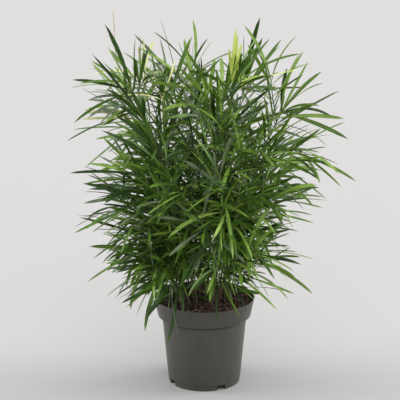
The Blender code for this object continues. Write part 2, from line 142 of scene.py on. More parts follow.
def blank_material(name: str) -> tuple[bpy.types.Material, bpy.types.NodeTree, bpy.types.Node]:
    """Makes a material with its Principled shader and nothing linked to it.

    Args:
        name: The material's name.

    Returns:
        The material, its node tree and its shader node.
    """
    material = bpy.data.materials.new(name)
    material.use_nodes = True
    tree = material.node_tree
    return material, tree, tree.nodes["Principled BSDF"]


@dataclass(frozen=True)
class LeafWax:
    """Waxy cladode skin, as grown: satin green, with a paler midrib, fine veins and a dry tip."""

    name: str
    slot: str
    dark: str
    face: str
    light: str
    rib: str
    tip: str
    roughness: float = 0.4
    specular: float = 0.28
    patch_mm: float = 26.0
    tone_stops: Triple = (0.34, 0.5, 0.68)
    tip_from: float = 0.93
    rib_edge: Pair = (0.1, 0.02)
    rib_strength: float = 0.55
    vein_scale: Triple = (3.0, 9.0, 1.0)
    relief: float = 0.25
    relief_mm: float = 0.2

    def material(self) -> bpy.types.Material:
        """Builds the finish. The patches are drawn coarser than on a leaf, so that they show.

        Returns:
            The leaf material.
        """
        material, tree, shader = blank_material(self.name)
        place = add_node(tree, "TexCoord")
        patches = add_node(tree, "TexNoise", {"Scale": 1000 / self.patch_mm, "Detail": 3.0},
                           {"Vector": place.outputs["Object"]})
        tones = tuple(zip(self.tone_stops, (self.dark, self.face, self.light)))
        face = add_node(tree, "ValToRGB", {"stops": tones}, {"Fac": patches.outputs["Fac"]})
        along = add_node(tree, "SeparateXYZ", None, {"Vector": place.outputs["UV"]})
        tip_share = add_node(tree, "MapRange", {"From Min": self.tip_from, "From Max": 1.0},
                             {"Value": along.outputs["X"]})
        tipped = add_node(tree, "Mix", {"data_type": "RGBA", MIX_B: linear(self.tip)},
                          {MIX_FACTOR: tip_share.outputs["Result"], MIX_A: face.outputs["Color"]})
        off_rib = add_node(tree, "Math", {"operation": "SUBTRACT", 1: 0.5},
                           {0: along.outputs["Y"]})
        from_rib = add_node(tree, "Math", {"operation": "ABSOLUTE"}, {0: off_rib.outputs[0]})
        outer, inner = self.rib_edge
        rib_share = add_node(
            tree, "MapRange", {"From Min": outer, "From Max": inner, "To Max": self.rib_strength},
            {"Value": from_rib.outputs[0]})
        ribbed = add_node(tree, "Mix", {"data_type": "RGBA", MIX_B: linear(self.rib)},
                          {MIX_FACTOR: rib_share.outputs["Result"],
                           MIX_A: tipped.outputs[MIX_RESULT]})
        stretch = add_node(tree, "Mapping", {"Scale": self.vein_scale},
                           {"Vector": place.outputs["UV"]})
        veins = add_node(tree, "TexNoise", {"Scale": 2.0, "Detail": 2.0},
                         {"Vector": stretch.outputs[0]})
        bump = add_node(tree, "Bump", {"Strength": self.relief, "Distance": self.relief_mm * MM},
                        {"Height": veins.outputs["Fac"]})
        fill_node(tree, shader,
                  {"Roughness": self.roughness, "Specular IOR Level": self.specular},
                  {"Base Color": ribbed.outputs[MIX_RESULT], "Normal": bump.outputs[0]})
        return material


@dataclass(frozen=True)
class StemBark:
    """Young asparagus bark, as grown: straw and brown at the soil, green above, finely ridged."""

    name: str = "young_asparagus_bark"
    foot: str = "#554a33"
    above: str = "#5d6634"
    high: str = "#465c28"
    tone_stops: Triple = (0.0, 0.45, 1.0)
    foot_height: float = 118 * MM
    high_height: float = 190 * MM
    ridge_mm: float = 0.6
    ridge_coarser: float = 4.0
    ridge_run: float = 0.12
    shade: Pair = (0.75, 1.2)
    relief: float = 0.5
    relief_mm: float = 0.15
    roughness: float = 0.6

    def material(self) -> bpy.types.Material:
        """Builds the finish. The ridges are drawn coarser than in life, so that they show.

        Returns:
            The bark material.
        """
        material, tree, shader = blank_material(self.name)
        place = add_node(tree, "TexCoord")
        height = add_node(tree, "SeparateXYZ", None, {"Vector": place.outputs["Object"]})
        share = add_node(tree, "MapRange",
                         {"From Min": self.foot_height, "From Max": self.high_height},
                         {"Value": height.outputs["Z"]})
        tones = tuple(zip(self.tone_stops, (self.foot, self.above, self.high)))
        colour = add_node(tree, "ValToRGB", {"stops": tones}, {"Fac": share.outputs["Result"]})
        stretch = add_node(tree, "Mapping", {"Scale": (1.0, 1.0, self.ridge_run)},
                           {"Vector": place.outputs["Object"]})
        ridges = add_node(
            tree, "TexNoise", {"Scale": 1000 / self.ridge_mm / self.ridge_coarser, "Detail": 2.0},
            {"Vector": stretch.outputs[0]})
        shade = add_node(tree, "MapRange", {"To Min": self.shade[0], "To Max": self.shade[1]},
                         {"Value": ridges.outputs["Fac"]})
        toned = add_node(tree, "VectorMath", {"operation": "SCALE"},
                         {0: colour.outputs["Color"], "Scale": shade.outputs["Result"]})
        bump = add_node(tree, "Bump", {"Strength": self.relief, "Distance": self.relief_mm * MM},
                        {"Height": ridges.outputs["Fac"]})
        fill_node(tree, shader, {"Roughness": self.roughness},
                  {"Base Color": toned.outputs[0], "Normal": bump.outputs[0]})
        return material


@dataclass(frozen=True)
class MouldedPolypropylene:
    """Recycled polypropylene, injection moulded: satin taupe-grey, faintly grained and scuffed."""

    name: str = "moulded_polypropylene"
    base: str = "#3a3833"
    scuffed: str = "#45423d"
    # The next four settings draw the painted shade in the crease below the collar: white where
    # there is none, the darker tone where it is deepest, the band's heights in mm, and the ramp's
    # stops.
    unshaded: str = "#ffffff"
    crease_shade: str = "#7a7874"
    scuff_stops: Pair = (0.4, 0.75)
    scuff_mm: float = 18.0
    scuff_run: float = 0.35
    crease_shade_mm: Pair = (79.0, 83.2)
    crease_shade_stops: tuple[float, ...] = (0.0, 0.4, 0.86, 1.0)
    grain_mm: float = 0.7
    roughness: Pair = (0.36, 0.52)
    relief: float = 0.12
    relief_mm: float = 0.1
    ior: float = 1.49

    def material(self) -> bpy.types.Material:
        """Builds the finish, with a line of painted shade in the crease below the collar.

        The mould's grain is drawn coarser than in life, so that it shows.

        Returns:
            The pot's material.
        """
        material, tree, shader = blank_material(self.name)
        place = add_node(tree, "TexCoord")
        stretch = add_node(tree, "Mapping", {"Scale": (1.0, 1.0, self.scuff_run)},
                           {"Vector": place.outputs["Object"]})
        scuffs = add_node(tree, "TexNoise",
                          {"Scale": 1000 / self.scuff_mm, "Detail": 6.0, "Roughness": 0.65},
                          {"Vector": stretch.outputs[0]})
        tones = tuple(zip(self.scuff_stops, (self.base, self.scuffed)))
        colour = add_node(tree, "ValToRGB", {"stops": tones}, {"Fac": scuffs.outputs["Fac"]})
        # Painted shade: a darker band on the body just below the collar, where the collar's
        # overhang shades the crease.
        height = add_node(tree, "SeparateXYZ", None, {"Vector": place.outputs["Object"]})
        below, above = self.crease_shade_mm
        crease = add_node(tree, "MapRange", {"From Min": below * MM, "From Max": above * MM},
                          {"Value": height.outputs["Z"]})
        crease_shade_tones = tuple(zip(self.crease_shade_stops, (self.unshaded, self.crease_shade, self.crease_shade, self.unshaded)))
        crease_shade_ramp = add_node(tree, "ValToRGB", {"stops": crease_shade_tones}, {"Fac": crease.outputs["Result"]})
        shaded_colour = add_node(
            tree, "Mix", {"data_type": "RGBA", "blend_type": "MULTIPLY", MIX_FACTOR: 1.0},
            {MIX_A: colour.outputs["Color"], MIX_B: crease_shade_ramp.outputs["Color"]})
        low, high = self.roughness
        gloss = add_node(tree, "MapRange", {"To Min": low, "To Max": high},
                         {"Value": scuffs.outputs["Fac"]})
        grain = add_node(tree, "TexNoise", {"Scale": 1000 / self.grain_mm, "Detail": 2.0},
                         {"Vector": place.outputs["Object"]})
        bump = add_node(tree, "Bump", {"Strength": self.relief, "Distance": self.relief_mm * MM},
                        {"Height": grain.outputs["Fac"]})
        fill_node(tree, shader, {"IOR": self.ior},
                  {"Base Color": shaded_colour.outputs[MIX_RESULT], "Normal": bump.outputs[0],
                   "Roughness": gloss.outputs["Result"]})
        return material


@dataclass(frozen=True)
class Crumbly:
    """A loose, matt bit of the potting mix: two tones in patches over a rough grain."""

    name: str
    dark: str
    light: str
    patch_mm: float = 3.0
    grain_mm: float = 0.8
    coarser: float = 2.0
    tone_stops: Pair = (0.38, 0.66)
    relief: float = 0.8
    relief_mm: float = 0.5
    roughness: float = 0.95
    specular: float = 0.25

    def material(self) -> bpy.types.Material:
        """Builds the finish. Patches and grain are drawn coarser than in life, so that they show.

        Returns:
            The material.
        """
        material, tree, shader = blank_material(self.name)
        place = add_node(tree, "TexCoord")
        patches = add_node(
            tree, "TexNoise", {"Scale": 1000 / self.patch_mm / self.coarser, "Detail": 4.0},
            {"Vector": place.outputs["Object"]})
        tones = tuple(zip(self.tone_stops, (self.dark, self.light)))
        colour = add_node(tree, "ValToRGB", {"stops": tones}, {"Fac": patches.outputs["Fac"]})
        grain = add_node(
            tree, "TexNoise", {"Scale": 1000 / self.grain_mm / self.coarser, "Detail": 3.0},
            {"Vector": place.outputs["Object"]})
        bump = add_node(tree, "Bump", {"Strength": self.relief, "Distance": self.relief_mm * MM},
                        {"Height": grain.outputs["Fac"]})
        fill_node(tree, shader,
                  {"Roughness": self.roughness, "Specular IOR Level": self.specular},
                  {"Base Color": colour.outputs["Color"], "Normal": bump.outputs[0]})
        return material


@dataclass(frozen=True)
class StudioPaper:
    """Uncoated pale backdrop paper: matt and even under the plant."""

    name: str = "studio_paper"
    colour: str = "#b2b0ae"
    roughness: float = 0.9
    specular: float = 0.1

    def material(self) -> bpy.types.Material:
        """Builds the finish.

        Returns:
            The floor's material.
        """
        material, tree, shader = blank_material(self.name)
        fill_node(tree, shader, {"Base Color": linear(self.colour), "Roughness": self.roughness,
                                 "Specular IOR Level": self.specular}, {})
        return material


class Tint(Enum):
    """The tones of leaf that a spray can have, each a finish of its own."""

    DEEP = LeafWax("leaf_wax_deep", "leaves_low",
                   "#192c08", "#243f0c", "#345616", "#436222", "#55602c")
    MID = LeafWax("leaf_wax_mid", "leaves_mid",
                  "#2a430d", "#3f6015", "#587b24", "#738c3c", "#757538")
    FRESH = LeafWax("leaf_wax_fresh", "leaves_top",
                    "#4e6c1e", "#688a2e", "#85a244", "#a2b664", "#928e4e")
    LIME = LeafWax("leaf_wax_lime", "leaves_top",
                   "#a0b544", "#bfcf60", "#d6e088", "#e6ebb2", "#d0c884")
    STRAW = LeafWax("leaf_wax_straw", "leaves_top",
                    "#b9bb74", "#cccd8b", "#dadb9f", "#e3e3b6", "#b09d66", roughness=0.55)
    GREY = LeafWax("leaf_wax_underside", "leaves_mid",
                   "#46543a", "#5d6c4e", "#778666", "#8b9879", "#7d7f5a", roughness=0.5)


def mesh_of(bm: bmesh.types.BMesh, name: str) -> bpy.types.Mesh:
    """Makes a mesh of a bmesh.

    Args:
        bm: The bmesh, which is freed.
        name: The mesh's name.

    Returns:
        The mesh.
    """
    mesh = bpy.data.meshes.new(name)
    bm.to_mesh(mesh)
    bm.free()
    return mesh


def placed(name: str, data: bpy.types.ID) -> bpy.types.Object:
    """Puts a mesh, curve, light or camera into the scene.

    Args:
        name: The object's name.
        data: What the object shows.

    Returns:
        The object, at the origin.
    """
    made = bpy.data.objects.new(name, data)
    bpy.context.scene.collection.objects.link(made)
    return made


def spun(outline: Sequence[Pair], segments: int) -> bmesh.types.BMesh:
    """Spins an outline round the pot's middle into a closed shell, its faces outwards.

    Args:
        outline: Its (radius, height) points, from the middle to the middle.
        segments: How many steps the turn has.

    Returns:
        The shell.
    """
    bm = bmesh.new()
    verts = [bm.verts.new((radius, 0, height)) for radius, height in outline]
    edges = [bm.edges.new(pair) for pair in zip(verts, verts[1:])]
    bmesh.ops.spin(bm, geom=verts + edges, axis=UP, cent=(0, 0, 0), angle=math.tau,
                   steps=segments, use_merge=True)
    bmesh.ops.remove_doubles(bm, verts=bm.verts, dist=MERGE_WITHIN)
    bmesh.ops.recalc_face_normals(bm, faces=bm.faces)
    return bm


def finished(
    bm: bmesh.types.BMesh, name: str, finish: bpy.types.Material,
    sharp: float | None = None,
) -> bpy.types.Object:
    """Makes a smooth-shaded object of a bmesh and lets it ride on the plant's one body.

    Args:
        bm: The bmesh, which is freed.
        name: The object's name.
        finish: Its material.
        sharp: The angle in degrees past which an edge stays sharp, or None for all smooth.

    Returns:
        The object.
    """
    mesh = mesh_of(bm, name)
    mesh.shade_smooth()
    if sharp is not None:
        mesh.set_sharp_from_angle(angle=math.radians(sharp))
    mesh.materials.append(finish)
    made = placed(name, mesh)
    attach(made, ROOT)
    log.info("%s: %d faces", name, len(mesh.polygons))
    return made


class Path:
    """A chain of points and the length along it."""

    def __init__(self, points: Sequence[Vector]) -> None:
        """Measures the chain.

        Args:
            points: The chain's points.
        """
        self.points = list(points)
        self.reached = [0.0]
        for a, b in zip(self.points, self.points[1:]):
            self.reached.append(self.reached[-1] + (b - a).length)
        self.length = self.reached[-1]

    def at(self, distance: float) -> Station:
        """Finds a place on the chain.

        Args:
            distance: How far from the start.

        Returns:
            The point there and the chain's direction.
        """
        last = len(self.points) - 1
        i = next((k for k in range(1, last) if distance <= self.reached[k]), last)
        a, b = self.points[i - 1], self.points[i]
        share = (distance - self.reached[i - 1]) / (b - a).length
        return a.lerp(b, share), (b - a).normalized()

    def spread(self, step: float) -> list[Vector]:
        """Returns points at most `step` apart, from the start to the end."""
        count = max(1, math.ceil(self.length / step))
        return [self.at(self.length * i / count)[0] for i in range(count + 1)]


@dataclass(frozen=True)
class Tier:
    """How a storey's shoots grow: bow and rise of the axis, its bare share, and how leaves lie."""

    bow: float
    rise: float
    bare: float
    lift: float
    spread: float
    leaf: float


@dataclass(frozen=True)
class Shoot:
    """One shoot: its turn in degrees, foot, reach and height in mm, sway in degrees and seed."""

    name: str
    turn: float
    foot: float
    reach: float
    height: float
    sway: float
    seed: int = 1

    def storey(self) -> str:
        """Returns the storey of the crown that the shoot's name begins with."""
        return self.name.split("_")[0]


@dataclass(frozen=True)
class Whorl:
    """The leaves of a node: their count, tilts in degrees, and size and width against full ones."""

    count: int
    tilts: Pair
    size: float
    narrow: float = 1.0


@dataclass(frozen=True)
class SpurPlan:
    """Where a shoot bears spurs, by share of a side twig and of a node gap, and their leaves."""

    side_places: tuple[float, ...]
    gap_places: tuple[float, ...]
    whorl: Whorl


class Fullness(Enum):
    """How thickly a shoot is set with spurs."""

    OPEN = SpurPlan((0.5,), (), Whorl(3, (18, 66), 0.62, 0.5))
    USUAL = SpurPlan((0.22, 0.5, 0.78), (0.5,), Whorl(3, (18, 66), 0.68, 0.66))
    THICK = SpurPlan((0.25, 0.5, 0.75, 0.95), (0.3, 0.7), Whorl(4, (14, 72), 0.88, 0.86))


@dataclass
class Leaf:
    """A sickle-shaped leaf: base, directions along and down, bend, roll and twist, and size."""

    base: Vector
    along: Vector
    down: Vector
    bend: float
    roll: float
    twist: float
    length: float
    width: float

    def frame_at(self, share: float) -> tuple[Vector, Vector, Vector]:
        """Follows the leaf's curve.

        Args:
            share: How far along the leaf, from 0 to 1.

        Returns:
            The leaf's centre there, and its directions across and through the blade.
        """
        angle = self.bend * share
        radius = self.length / self.bend
        forward, sunk = radius * math.sin(angle), radius * (1 - math.cos(angle))
        centre = self.base + self.along * forward + self.down * sunk
        tangent = self.along * math.cos(angle) + self.down * math.sin(angle)
        roll = self.roll + self.twist * share
        side = self.along.cross(self.down)
        across = side * math.cos(roll) + tangent.cross(side) * math.sin(roll)
        return centre, across, tangent.cross(across)


@dataclass
class Spray:
    """Leaves, their own twig if they have one, and the label of the side twig that carries it."""

    label: str
    twig: Path | None
    leaves: list[Leaf]
    is_spur: bool = False
    carrier: str = ""


@dataclass
class GrownShoot:
    """A shoot with its axis and its sprays."""

    shoot: Shoot
    axis: Path
    sprays: list[Spray]


@dataclass
class Crown:
    """The solids' growth rule, with the same sizes, and the finer spurs that only show here."""

    soil_top: float = 101 * MM
    rim_radius: float = 60 * MM
    rim_height: float = 105 * MM
    axis_steps: int = 9
    golden_turn: float = math.radians(137.5)
    node_step: float = 30 * MM
    node_uneven: Pair = (0.85, 1.15)
    last_node: float = 12 * MM
    branchlet_span: Pair = (26 * MM, 52 * MM)
    branchlet_tilt: Pair = (34, 60)
    branchlet_rise: float = 0.12
    branchlet_lean: float = 0.25
    branchlet_stations: int = 2
    middle_whorl_span: float = 42 * MM
    axis_whorl: Whorl = Whorl(3, (30, 88), 1.0)
    middle_whorl: Whorl = Whorl(2, (30, 85), 0.9)
    end_whorl: Whorl = Whorl(4, (12, 72), 0.95)
    tip_whorl: Whorl = Whorl(6, (6, 64), 1.05)
    spur_span: Pair = (7 * MM, 15 * MM)
    spur_tilt: Pair = (38, 74)
    low_spur_places: tuple[float, ...] = (0.7, 0.8, 0.9)
    whorl_below_branchlet: float = 1.5 * MM
    first_leaf: float = 0.6
    leaf_spacing: float = 2.2 * MM
    leaf_turn_uneven: float = 0.35
    leaf_length_share: Pair = (0.5, 1.2)
    leaf_width: Pair = (4.6 * MM, 6.4 * MM)
    leaf_bend: Pair = (0.06, 0.8)
    leaf_roll: float = 0.7
    leaf_twist: float = 0.5
    leaf_sickle: float = 0.8
    side_nudge: float = 1e-3
    wood_margin: float = 5.0 * MM
    wood_sample: float = 4 * MM
    rim_margin: float = 4 * MM
    soil_margin: float = 4 * MM
    lowest_leaf: float = 58 * MM
    leaf_samples: int = 10
    fullness: dict[Fullness, tuple[str, ...]] = field(default_factory=lambda: {
        Fullness.THICK: ("top_1", "mid_1", "mid_5", "mid_6", "mid_7", "mid_10", "low_5", "low_6"),
        Fullness.OPEN: ("top_6", "top_7", "top_9", "top_10", "low_3"),
    })
    tiers: dict[str, Tier] = field(default_factory=lambda: {
        "top": Tier(bow=0.30, rise=0.62, bare=0.32, lift=0.24, spread=0.20, leaf=80 * MM),
        "mid": Tier(bow=0.42, rise=0.74, bare=0.26, lift=0.02, spread=0.34, leaf=77 * MM),
        "low": Tier(bow=0.50, rise=1.00, bare=0.30, lift=-0.20, spread=0.30, leaf=72 * MM),
    })

    def tier_of(self, shoot: Shoot) -> Tier:
        """Returns how the shoot's storey grows."""
        return self.tiers[shoot.storey()]

    def plan_of(self, shoot: Shoot) -> SpurPlan:
        """Returns the shoot's spur plan."""
        named = (kind for kind, names in self.fullness.items() if shoot.name in names)
        return next(named, Fullness.USUAL).value

    def axis_of(self, shoot: Shoot) -> Path:
        """Draws a shoot's line: a quadratic bow outwards with a sideways sway.

        Args:
            shoot: The shoot.

        Returns:
            Its axis, from the soil to the tip.
        """
        tier = self.tier_of(shoot)
        foot, reach, height = shoot.foot * MM, shoot.reach * MM, shoot.height * MM
        middle_out = foot + (reach - foot) * tier.bow
        middle_up = self.soil_top + (height - self.soil_top) * tier.rise
        points = []
        for k in range(self.axis_steps + 1):
            t = k / self.axis_steps
            first, second, third = (1 - t) ** 2, 2 * t * (1 - t), t * t
            out = first * foot + second * middle_out + third * reach
            up = first * self.soil_top + second * middle_up + third * height
            angle = math.radians(shoot.turn + shoot.sway * (t * t - t))
            points.append(Vector((out * math.cos(angle), out * math.sin(angle), up)))
        return Path(points)

    def aslant(self, axis: Vector, turn: float, tilt: float) -> Vector:
        """Tilts a direction.

        Args:
            axis: The direction that is left.
            turn: The turn around it.
            tilt: The angle to it.

        Returns:
            The tilted direction.
        """
        across = axis.orthogonal().normalized()
        around = across * math.cos(turn) + axis.cross(across) * math.sin(turn)
        return axis * math.cos(tilt) + around * math.sin(tilt)

    def whorl(self, key: str, path: Path, distance: float, kind: Whorl, tier: Tier) -> list[Leaf]:
        """Grows the leaves of one node, one behind another and spread by the golden turn.

        Args:
            key: The node's own seed.
            path: The twig.
            distance: Where on the twig the node is.
            kind: The whorl's size.
            tier: The shoot's storey.

        Returns:
            The leaves.
        """
        rng = random.Random(key)
        start = rng.uniform(0, math.tau)
        leaves = []
        for k in range(kind.count):
            base, axis = path.at(distance - (k + self.first_leaf) * self.leaf_spacing)
            outward = Vector((base.x, base.y, 0)).normalized()
            uneven = rng.uniform(-self.leaf_turn_uneven, self.leaf_turn_uneven)
            turn = start + self.golden_turn * k + uneven
            tilt = math.radians(rng.uniform(*kind.tilts))
            along = self.aslant(axis, turn, tilt) + UP * tier.lift + outward * tier.spread
            along.normalize()
            side = (along.cross(UP) + along.orthogonal() * self.side_nudge).normalized()
            sickle = rng.uniform(-self.leaf_sickle, self.leaf_sickle)
            down = along * along.dot(UP) - UP + side * sickle
            down = (down - along * down.dot(along)).normalized()
            bend = rng.uniform(*self.leaf_bend)
            roll = rng.gauss(0, self.leaf_roll)
            twist = rng.uniform(-self.leaf_twist, self.leaf_twist)
            length = tier.leaf * kind.size * rng.uniform(*self.leaf_length_share)
            width = rng.uniform(*self.leaf_width) * kind.narrow
            leaves.append(Leaf(base, along, down, bend, roll, twist, length, width))
        return leaves

    def branchlet(
        self, rng: random.Random, base: Vector, along: Vector, turn: float, tier: Tier,
    ) -> Path:
        """Grows a side twig that leaves the axis aslant and turns a little upwards.

        Args:
            rng: The shoot's own chance.
            base: Where it leaves the axis.
            along: The axis's direction there.
            turn: Its turn around the axis.
            tier: The shoot's storey.

        Returns:
            The twig.
        """
        tilt = math.radians(rng.uniform(*self.branchlet_tilt))
        slant = (self.aslant(along, turn, tilt) + UP * self.branchlet_rise).normalized()
        span = rng.uniform(*self.branchlet_span)
        lean = (slant + UP * (self.branchlet_lean + tier.lift)).normalized()
        points = [base]
        for i in range(1, self.branchlet_stations + 1):
            heading = slant.lerp(lean, i / self.branchlet_stations).normalized()
            points.append(points[-1] + heading * span / self.branchlet_stations)
        return Path(points)

    def spur(
        self, shoot: Shoot, label: str, path: Path, distance: float, carrier: str = "",
    ) -> Spray:
        """Grows a short spur with narrow leaves.

        Args:
            shoot: The shoot.
            label: The spur's label.
            path: The twig that carries it.
            distance: Where on that twig.
            carrier: The label of that twig, or nothing for the axis.

        Returns:
            The spur and its leaves.
        """
        key = f"{shoot.name} {shoot.seed} {label}"
        rng = random.Random(key)
        base, along = path.at(distance)
        tilt = math.radians(rng.uniform(*self.spur_tilt))
        heading = self.aslant(along, rng.uniform(0, math.tau), tilt)
        twig = Path([base, base + heading * rng.uniform(*self.spur_span)])
        kind = self.plan_of(shoot).whorl
        leaves = self.whorl(f"{key} leaves", twig, twig.length, kind, self.tier_of(shoot))
        return Spray(label, twig, leaves, True, carrier)

    def grown(self, shoot: Shoot) -> GrownShoot:
        """Grows one shoot.

        Args:
            shoot: The shoot.

        Returns:
            The shoot with its axis and sprays.
        """
        tier = self.tier_of(shoot)
        axis = self.axis_of(shoot)
        stem = f"{shoot.name} {shoot.seed}"
        rng = random.Random(f"{shoot.name} nodes {shoot.seed}")
        distance = axis.length * tier.bare + rng.uniform(0, self.node_step)
        turn = rng.uniform(0, math.tau)
        plan = self.plan_of(shoot)
        sprays = [self.spur(shoot, f"low spur {share}", axis, distance * share)
                  for share in self.low_spur_places]
        n = 0
        while distance < axis.length - self.last_node:
            base, along = axis.at(distance)
            below = distance - self.whorl_below_branchlet
            own = self.whorl(f"{stem} {n}", axis, below, self.axis_whorl, tier)
            sprays.append(Spray(f"{n}", None, own))
            turn += self.golden_turn
            side = self.branchlet(rng, base, along, turn, tier)
            carrier = f"{n} side"
            leaves = []
            if side.length > self.middle_whorl_span:
                middle = side.length / 2
                leaves += self.whorl(f"{stem} {n} mid", side, middle, self.middle_whorl, tier)
            leaves += self.whorl(f"{stem} {n} end", side, side.length, self.end_whorl, tier)
            sprays.append(Spray(carrier, side, leaves))
            step = self.node_step * rng.uniform(*self.node_uneven)
            sprays += [self.spur(shoot, f"{n} gap spur {share}", axis, distance - step * share)
                       for share in plan.gap_places]
            sprays += [self.spur(shoot, f"{n} spur {share}", side, side.length * share, carrier)
                       for share in plan.side_places]
            distance += step
            n += 1
        top = self.whorl(f"{stem} tip", axis, axis.length, self.tip_whorl, tier)
        sprays.append(Spray("tip", None, top))
        return GrownShoot(shoot, axis, sprays)

    def clear_of_pot(self, points: Iterable[Vector]) -> bool:
        """Says whether points keep off the soil, the rim and the pot, and don't hang too low.

        Args:
            points: The points.

        Returns:
            Whether all of them do.
        """
        for point in points:
            out = math.hypot(point.x, point.y)
            if out < self.rim_radius - self.rim_margin:
                floor = self.soil_top + self.soil_margin
            elif out <= self.rim_radius + self.rim_margin:
                floor = self.rim_height + self.rim_margin
            else:
                floor = self.lowest_leaf
            if point.z < floor:
                return False
        return True

    def kept(self, leaf: Leaf) -> bool:
        """Says whether the whole leaf keeps clear of the pot and inside the solids' box.

        Args:
            leaf: The leaf.

        Returns:
            Whether it does.
        """
        low, high = CAD_BOX
        points = [leaf.frame_at(k / self.leaf_samples)[0] for k in range(1, self.leaf_samples + 1)]
        inside = all(low[i] <= point[i] <= high[i] for point in points for i in range(3))
        return inside and self.clear_of_pot(points)

    def roomy(self, owner: int, twig: Path, wood: list[tuple[int, Vector]]) -> bool:
        """Says whether a side twig keeps away from other shoots' wood, and adds it if so.

        Args:
            owner: The shoot's number.
            twig: The side twig.
            wood: Points on all wood so far, each with its shoot's number.

        Returns:
            Whether it has room.
        """
        points = twig.spread(self.wood_sample)
        gap = min((p - q).length for other, q in wood if other != owner for p in points)
        if gap < self.wood_margin or not self.clear_of_pot(points):
            return False
        wood += [(owner, point) for point in points]
        return True

    def grow(self, shoots: Sequence[Shoot]) -> list[GrownShoot]:
        """Grows all shoots and drops each twig that has no room and each leaf that meets the pot.

        Args:
            shoots: The shoots.

        Returns:
            The grown shoots.
        """
        plants = [self.grown(shoot) for shoot in shoots]
        wood = [(owner, point) for owner, plant in enumerate(plants)
                for point in plant.axis.spread(self.wood_sample)]
        for owner, plant in enumerate(plants):
            lost = {spray.label for spray in plant.sprays
                    if spray.twig and not spray.is_spur and not self.roomy(owner, spray.twig, wood)}
            plant.sprays = [spray for spray in plant.sprays
                            if not {spray.label, spray.carrier} & lost]
            for spray in plant.sprays:
                spray.leaves = [leaf for leaf in spray.leaves if self.kept(leaf)]
        return plants


SHOOTS = [Shoot(*row) for row in (
    ("top_1", 180, 10, 85, 355, 10),
    ("top_2", 215, 15, 85, 335, 0),
    ("top_3", 115, 15, 75, 350, 15),
    ("top_4", 275, 10, 40, 360, 5),
    ("top_5", 30, 5, 25, 350, -25),
    ("top_6", 315, 15, 45, 370, -5, 2),
    ("top_7", 0, 15, 90, 330, 25),
    ("top_8", 80, 15, 100, 305, 15),
    ("top_9", 145, 15, 90, 360, 5),
    ("top_10", 60, 15, 95, 340, 0, 3),
    ("mid_1", 355, 25, 80, 290, 20),
    ("mid_2", 310, 25, 95, 250, 5),
    ("mid_3", 285, 25, 90, 260, -10, 2),
    ("mid_4", 250, 25, 105, 275, -10),
    ("mid_5", 220, 25, 90, 250, 0),
    ("mid_6", 195, 25, 75, 260, -25),
    ("mid_7", 150, 25, 85, 225, -20),
    ("mid_8", 130, 25, 110, 265, 15),
    ("mid_9", 65, 25, 100, 275, 20),
    ("mid_10", 40, 25, 105, 255, 5),
    ("low_1", 330, 32, 55, 165, -20, 4),
    ("low_2", 285, 32, 80, 200, -20),
    ("low_3", 240, 32, 85, 165, 15, 3),
    ("low_4", 210, 32, 80, 175, 10),
    ("low_5", 175, 32, 75, 180, 0),
    ("low_6", 140, 32, 90, 180, -10),
    ("low_7", 100, 32, 70, 150, -5),
    ("low_8", 45, 32, 65, 170, 5),
)]


@dataclass(frozen=True)
class LoneLeaf:
    """A leaf at a shoot's end: its tone, its own tip in mm, and how it bends and lies."""

    shoot: str
    tint: Tint
    tip: Triple
    bend: float
    width_mm: float
    roll: float = 1.3

    def leaf(self, axis: Path) -> Leaf:
        """Draws the leaf as an arc from the shoot's end to its own tip.

        Args:
            axis: The shoot's axis.

        Returns:
            The leaf.
        """
        base = axis.at(axis.length - MM)[0]
        chord = Vector(self.tip) * MM - base
        straight = chord.normalized()
        sag = (straight * straight.dot(UP) - UP).normalized()
        half = self.bend / 2
        along = straight * math.cos(half) - sag * math.sin(half)
        down = straight * math.sin(half) + sag * math.cos(half)
        length = chord.length * half / math.sin(half)
        return Leaf(base, along, down, self.bend, self.roll, 0.0, length, self.width_mm * MM)


